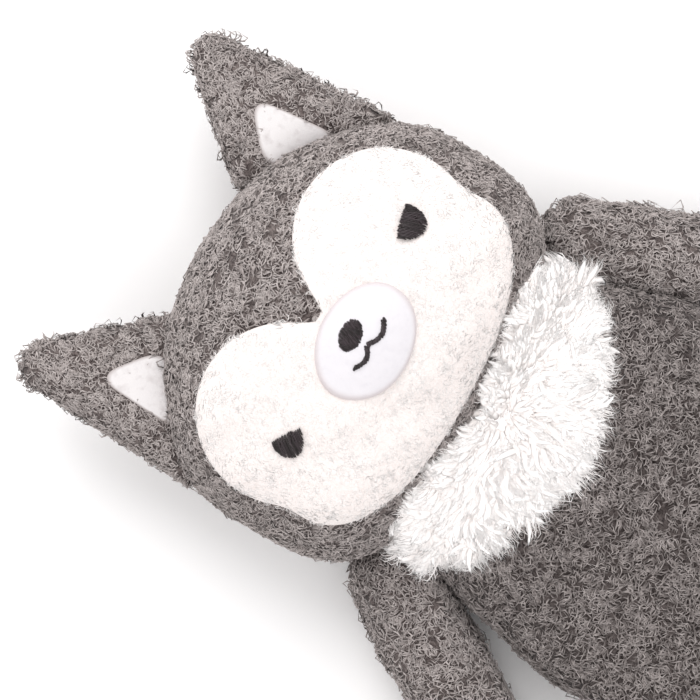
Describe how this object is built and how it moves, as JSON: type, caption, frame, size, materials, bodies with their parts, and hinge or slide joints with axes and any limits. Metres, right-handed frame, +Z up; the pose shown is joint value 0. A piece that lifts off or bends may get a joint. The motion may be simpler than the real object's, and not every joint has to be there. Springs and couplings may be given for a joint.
{
  "type": "hand puppet",
  "caption": "Plush wolf-cub glove puppet lying on its back: hollow lined torso open at the hem, stuffed head with felt face, two finger arms and a shaggy bib.",
  "frame": {"origin": "middle of the torso's flat underside, on the surface that the puppet lies on", "axes": "+Z up out of the chest and the face, +Y from the hem towards the head, +X towards the puppet's own left"},
  "size_m": [0.2323, 0.2854, 0.0847],
  "materials": {
    "grey_plush": "curly chenille pile, matte",
    "white_plush": "short velvety pile, matte",
    "white_fur": "long shaggy pile, soft sheen",
    "white_felt": "fine felt, matte",
    "black_thread": "satin-stitch embroidery, silky",
    "lining_cloth": "plain woven, matte",
    "stuffing": "loose fibre filling",
    "label_tape": "blank woven tape, satin"
  },
  "bodies": {
    "torso": {"torso_front_panel": "grey_plush", "torso_back_panel": "grey_plush", "torso_lining": "lining_cloth", "hem_band": "grey_plush", "hem_stitching": "lining_cloth", "chest_bib": "white_fur", "care_label": "label_tape"},
    "neck": {"neck_gusset": "grey_plush"},
    "head": {"head_front_panel": "grey_plush", "head_back_panel": "grey_plush", "head_stuffing": "stuffing", "head_finger_sleeve": "lining_cloth", "face_mask": "white_plush", "muzzle_felt": "white_felt", "muzzle_wadding": "stuffing", "nose_embroidery": "black_thread", "mouth_embroidery": "black_thread", "eye_embroidery_left": "black_thread", "eye_embroidery_right": "black_thread"},
    "ear_left": {"ear_front_panel_left": "grey_plush", "ear_back_panel_left": "grey_plush", "ear_wadding_left": "stuffing", "ear_felt_left": "white_felt"},
    "shoulder_left": {"shoulder_gusset_left": "grey_plush"},
    "arm_left": {"arm_front_panel_left": "grey_plush", "arm_back_panel_left": "grey_plush", "arm_finger_sleeve_left": "lining_cloth", "paw_stuffing_left": "stuffing"},
    "ear_right": {"ear_front_panel_right": "grey_plush", "ear_back_panel_right": "grey_plush", "ear_wadding_right": "stuffing", "ear_felt_right": "white_felt"},
    "shoulder_right": {"shoulder_gusset_right": "grey_plush"},
    "arm_right": {"arm_front_panel_right": "grey_plush", "arm_back_panel_right": "grey_plush", "arm_finger_sleeve_right": "lining_cloth", "paw_stuffing_right": "stuffing"}
  },
  "joints": [
    {"name": "head_turn", "type": "hinge", "parent": "torso", "child": "neck", "pos_m": [0, 0.072, 0.024], "axis": [0, 1, 0], "range_deg": [-25, 25], "deforming": ["neck_gusset"]},
    {"name": "head_nod", "type": "hinge", "parent": "neck", "child": "head", "pos_m": [0, 0.072, 0.024], "axis": [-1, 0, 0], "range_deg": [-25, 8]},
    {"name": "ear_flop_left", "type": "hinge", "parent": "head", "child": "ear_left", "pos_m": [0.0505, 0.1675, 0.037], "axis": [0.7998, -0.6003, 0], "range_deg": [-20, 20], "stiffness_Nm_per_rad": 0.02},
    {"name": "ear_flop_right", "type": "hinge", "parent": "head", "child": "ear_right", "pos_m": [-0.0505, 0.1675, 0.037], "axis": [0.7998, 0.6003, 0], "range_deg": [-20, 20], "stiffness_Nm_per_rad": 0.02},
    {"name": "arm_lift_left", "type": "hinge", "parent": "torso", "child": "shoulder_left", "pos_m": [0.0625, 0.073, 0.0164], "axis": [0, 0, 1], "range_deg": [0, 64], "deforming": ["shoulder_gusset_left"]},
    {"name": "arm_swing_left", "type": "hinge", "parent": "shoulder_left", "child": "arm_left", "pos_m": [0.0625, 0.073, 0.0164], "axis": [-0.9397, -0.342, 0], "range_deg": [0, 45]},
    {"name": "arm_lift_right", "type": "hinge", "parent": "torso", "child": "shoulder_right", "pos_m": [-0.0625, 0.073, 0.0164], "axis": [0, 0, -1], "range_deg": [-14, 50], "deforming": ["shoulder_gusset_right"]},
    {"name": "arm_swing_right", "type": "hinge", "parent": "shoulder_right", "child": "arm_right", "pos_m": [-0.0625, 0.073, 0.0164], "axis": [-0.829, 0.5592, 0], "range_deg": [0, 45]}
  ]
}
